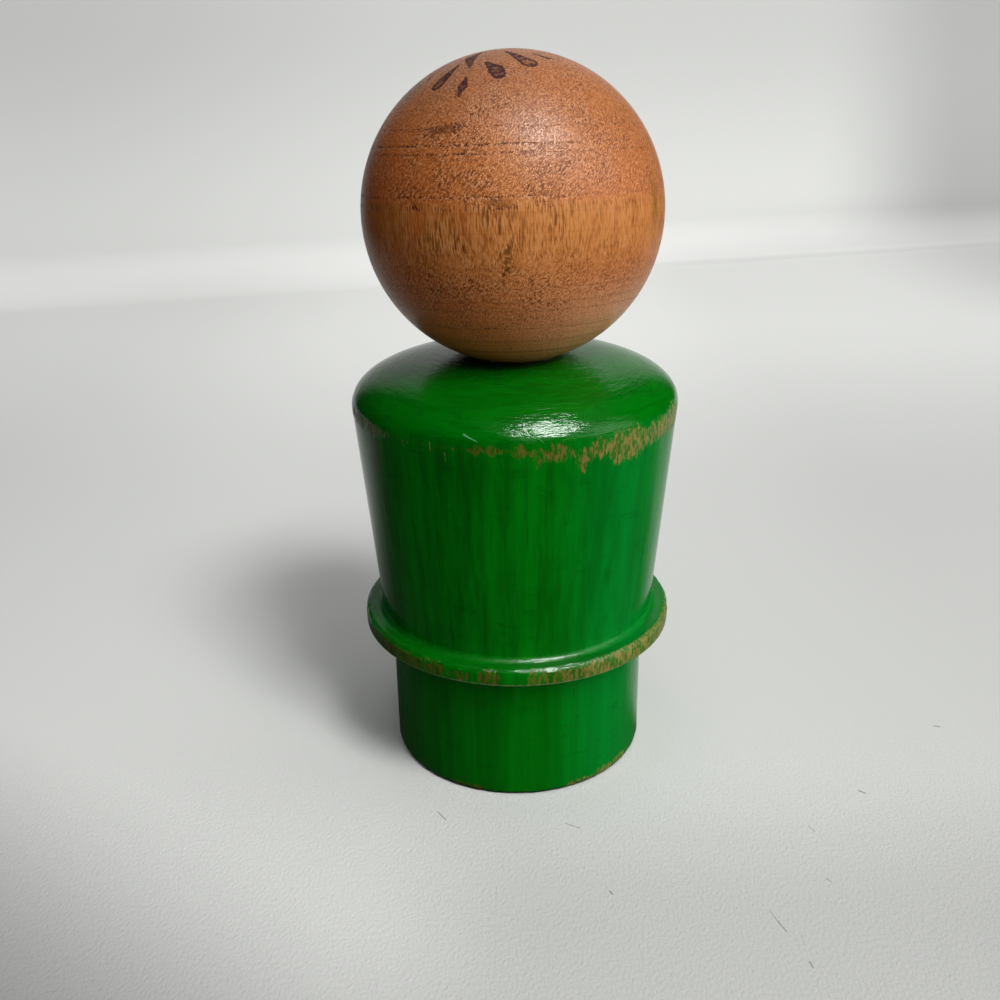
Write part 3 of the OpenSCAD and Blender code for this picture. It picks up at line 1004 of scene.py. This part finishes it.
# %% Floor and backdrop: shader
seen = calc("MAXIMUM", rays["Is Glossy Ray"], rays["Is Transmission Ray"])
seen = calc("MAXIMUM", rays["Is Camera Ray"], seen)
past_end = times(rays["Is Glossy Ray"], soft_edge(calc("ABSOLUTE", x), 105, 140))
pale = mixed(past_end, pale, colour(24, 24, 24))
drawn_out = scaled(place, (1.0, 0.7, 1.0))
relief = times(noise(drawn_out, 4.2), soft_edge(y, 6, -18, 0.02, 1.0))
link_finish(shader, relief, 0.1 * MM, Base_Color=mixed(seen, colour(100, 102, 98), pale))
dress(floor, paper)

# %% [markdown]
# The light is a wide bank of windows on the right and in front of the doll, with a pale ceiling.
# Its brightest pane is high on the right: its direction was read from the highlight on the ball
# and from where the ball's shadow falls. The side panes are softer and lower. Each lamp is given
# by its compass angle from the front, its elevation, its size and its power.
#
# The photograph has one clear shadow on the floor, though the doll is lit from a wide angle.
# Light linking gives both: the low side panes light only the doll, and the floor has a share of
# the high light to itself. A weak lamp behind the doll lights its far side alone, for the views
# from there.

# %% Lamps
LAMP_DISTANCE, DOLL_MIDDLE = 1.2, Vector((0, 0, 0.03))
LAMPS = (  # name, compass angle, elevation, width, depth, power, what it lights
    ("high_pane", 37.5, 54, 0.44, 0.38, 4.6, "all"),
    ("ceiling", 90, 78, 1.20, 1.20, 1.6, "all"),
    ("front_pane", 20, 32, 0.80, 0.80, 5.2, "doll"),
    ("side_pane", 60, 32, 0.80, 0.80, 5.2, "doll"),
    ("low_pane", 72, 18, 0.80, 0.80, 5.6, "doll"),
    ("far_fill", 185, 12, 1.20, 1.20, 2.4, "doll"),
    ("floor_pane", 37.5, 54, 0.28, 0.26, 6.2, "floor"),
    ("floor_ceiling", 90, 86, 2.40, 2.40, 11.8, "floor"),
)
lit = {name: bpy.data.collections.new(name + "_only") for name in ("doll", "floor")}
for piece in (body, head, pin):
    lit["doll"].objects.link(piece)
lit["floor"].objects.link(floor)

# %% Hang the lamps
def add_lamp(name, compass, elevation, width, depth, power):
    """An area lamp at a compass angle and elevation, looking at the doll's middle."""
    compass, elevation = math.radians(compass), math.radians(elevation)
    towards = Vector((math.sin(compass) * math.cos(elevation),
                      -math.cos(compass) * math.cos(elevation), math.sin(elevation)))
    bpy.ops.object.light_add(type="AREA", location=towards * LAMP_DISTANCE + DOLL_MIDDLE)
    lamp = bpy.context.object
    lamp.name = name
    lamp.rotation_euler = towards.to_track_quat("Z", "Y").to_euler()
    lamp.data.shape = "RECTANGLE"
    lamp.data.size, lamp.data.size_y = width, depth
    lamp.data.energy = power
    return lamp


for name, compass, elevation, width, depth, power, receiver in LAMPS:
    lamp = add_lamp(name, compass, elevation, width, depth, power)
    if receiver in lit:
        lamp.light_linking.receiver_collection = lit[receiver]
print("lamps:", [lamp[0] for lamp in LAMPS])

# %% [markdown]
# The window's glint. A mirror-like glint needs a far brighter source than the matt colours do,
# and a lamp that bright would burn them out. So the glint has a lamp of its own from nearly the
# same direction, which only gloss can see. The room is left to the world: the camera sees it
# pale past the sheet's ends, and it adds hardly any light.

# %% Glint
glint = add_lamp("glint", 36, 60, 0.52, 0.56, 78)
glint.visible_diffuse = False
glint.light_linking.receiver_collection = lit["doll"]
print(glint.name, "has", glint.data.energy, "W")

# %% World
SKY_LIGHT, SKY_SEEN = 0.02, 0.7
world = bpy.data.worlds.new("room")
bpy.context.scene.world = world
world.use_nodes = True
tree = world.node_tree
tree.nodes.clear()
path = add("LightPath").outputs
seen = calc("MAXIMUM", path["Is Camera Ray"], path["Is Transmission Ray"])
strength = calc("MULTIPLY_ADD", seen, SKY_SEEN, SKY_LIGHT)
sky = add("Background", {"Color": (0.95, 0.98, 1.0, 1.0), "Strength": strength})
add("OutputWorld", {"Surface": sky.outputs[0]})
count_nodes("sky")

bpy.context.scene.view_settings.view_transform = "Standard"
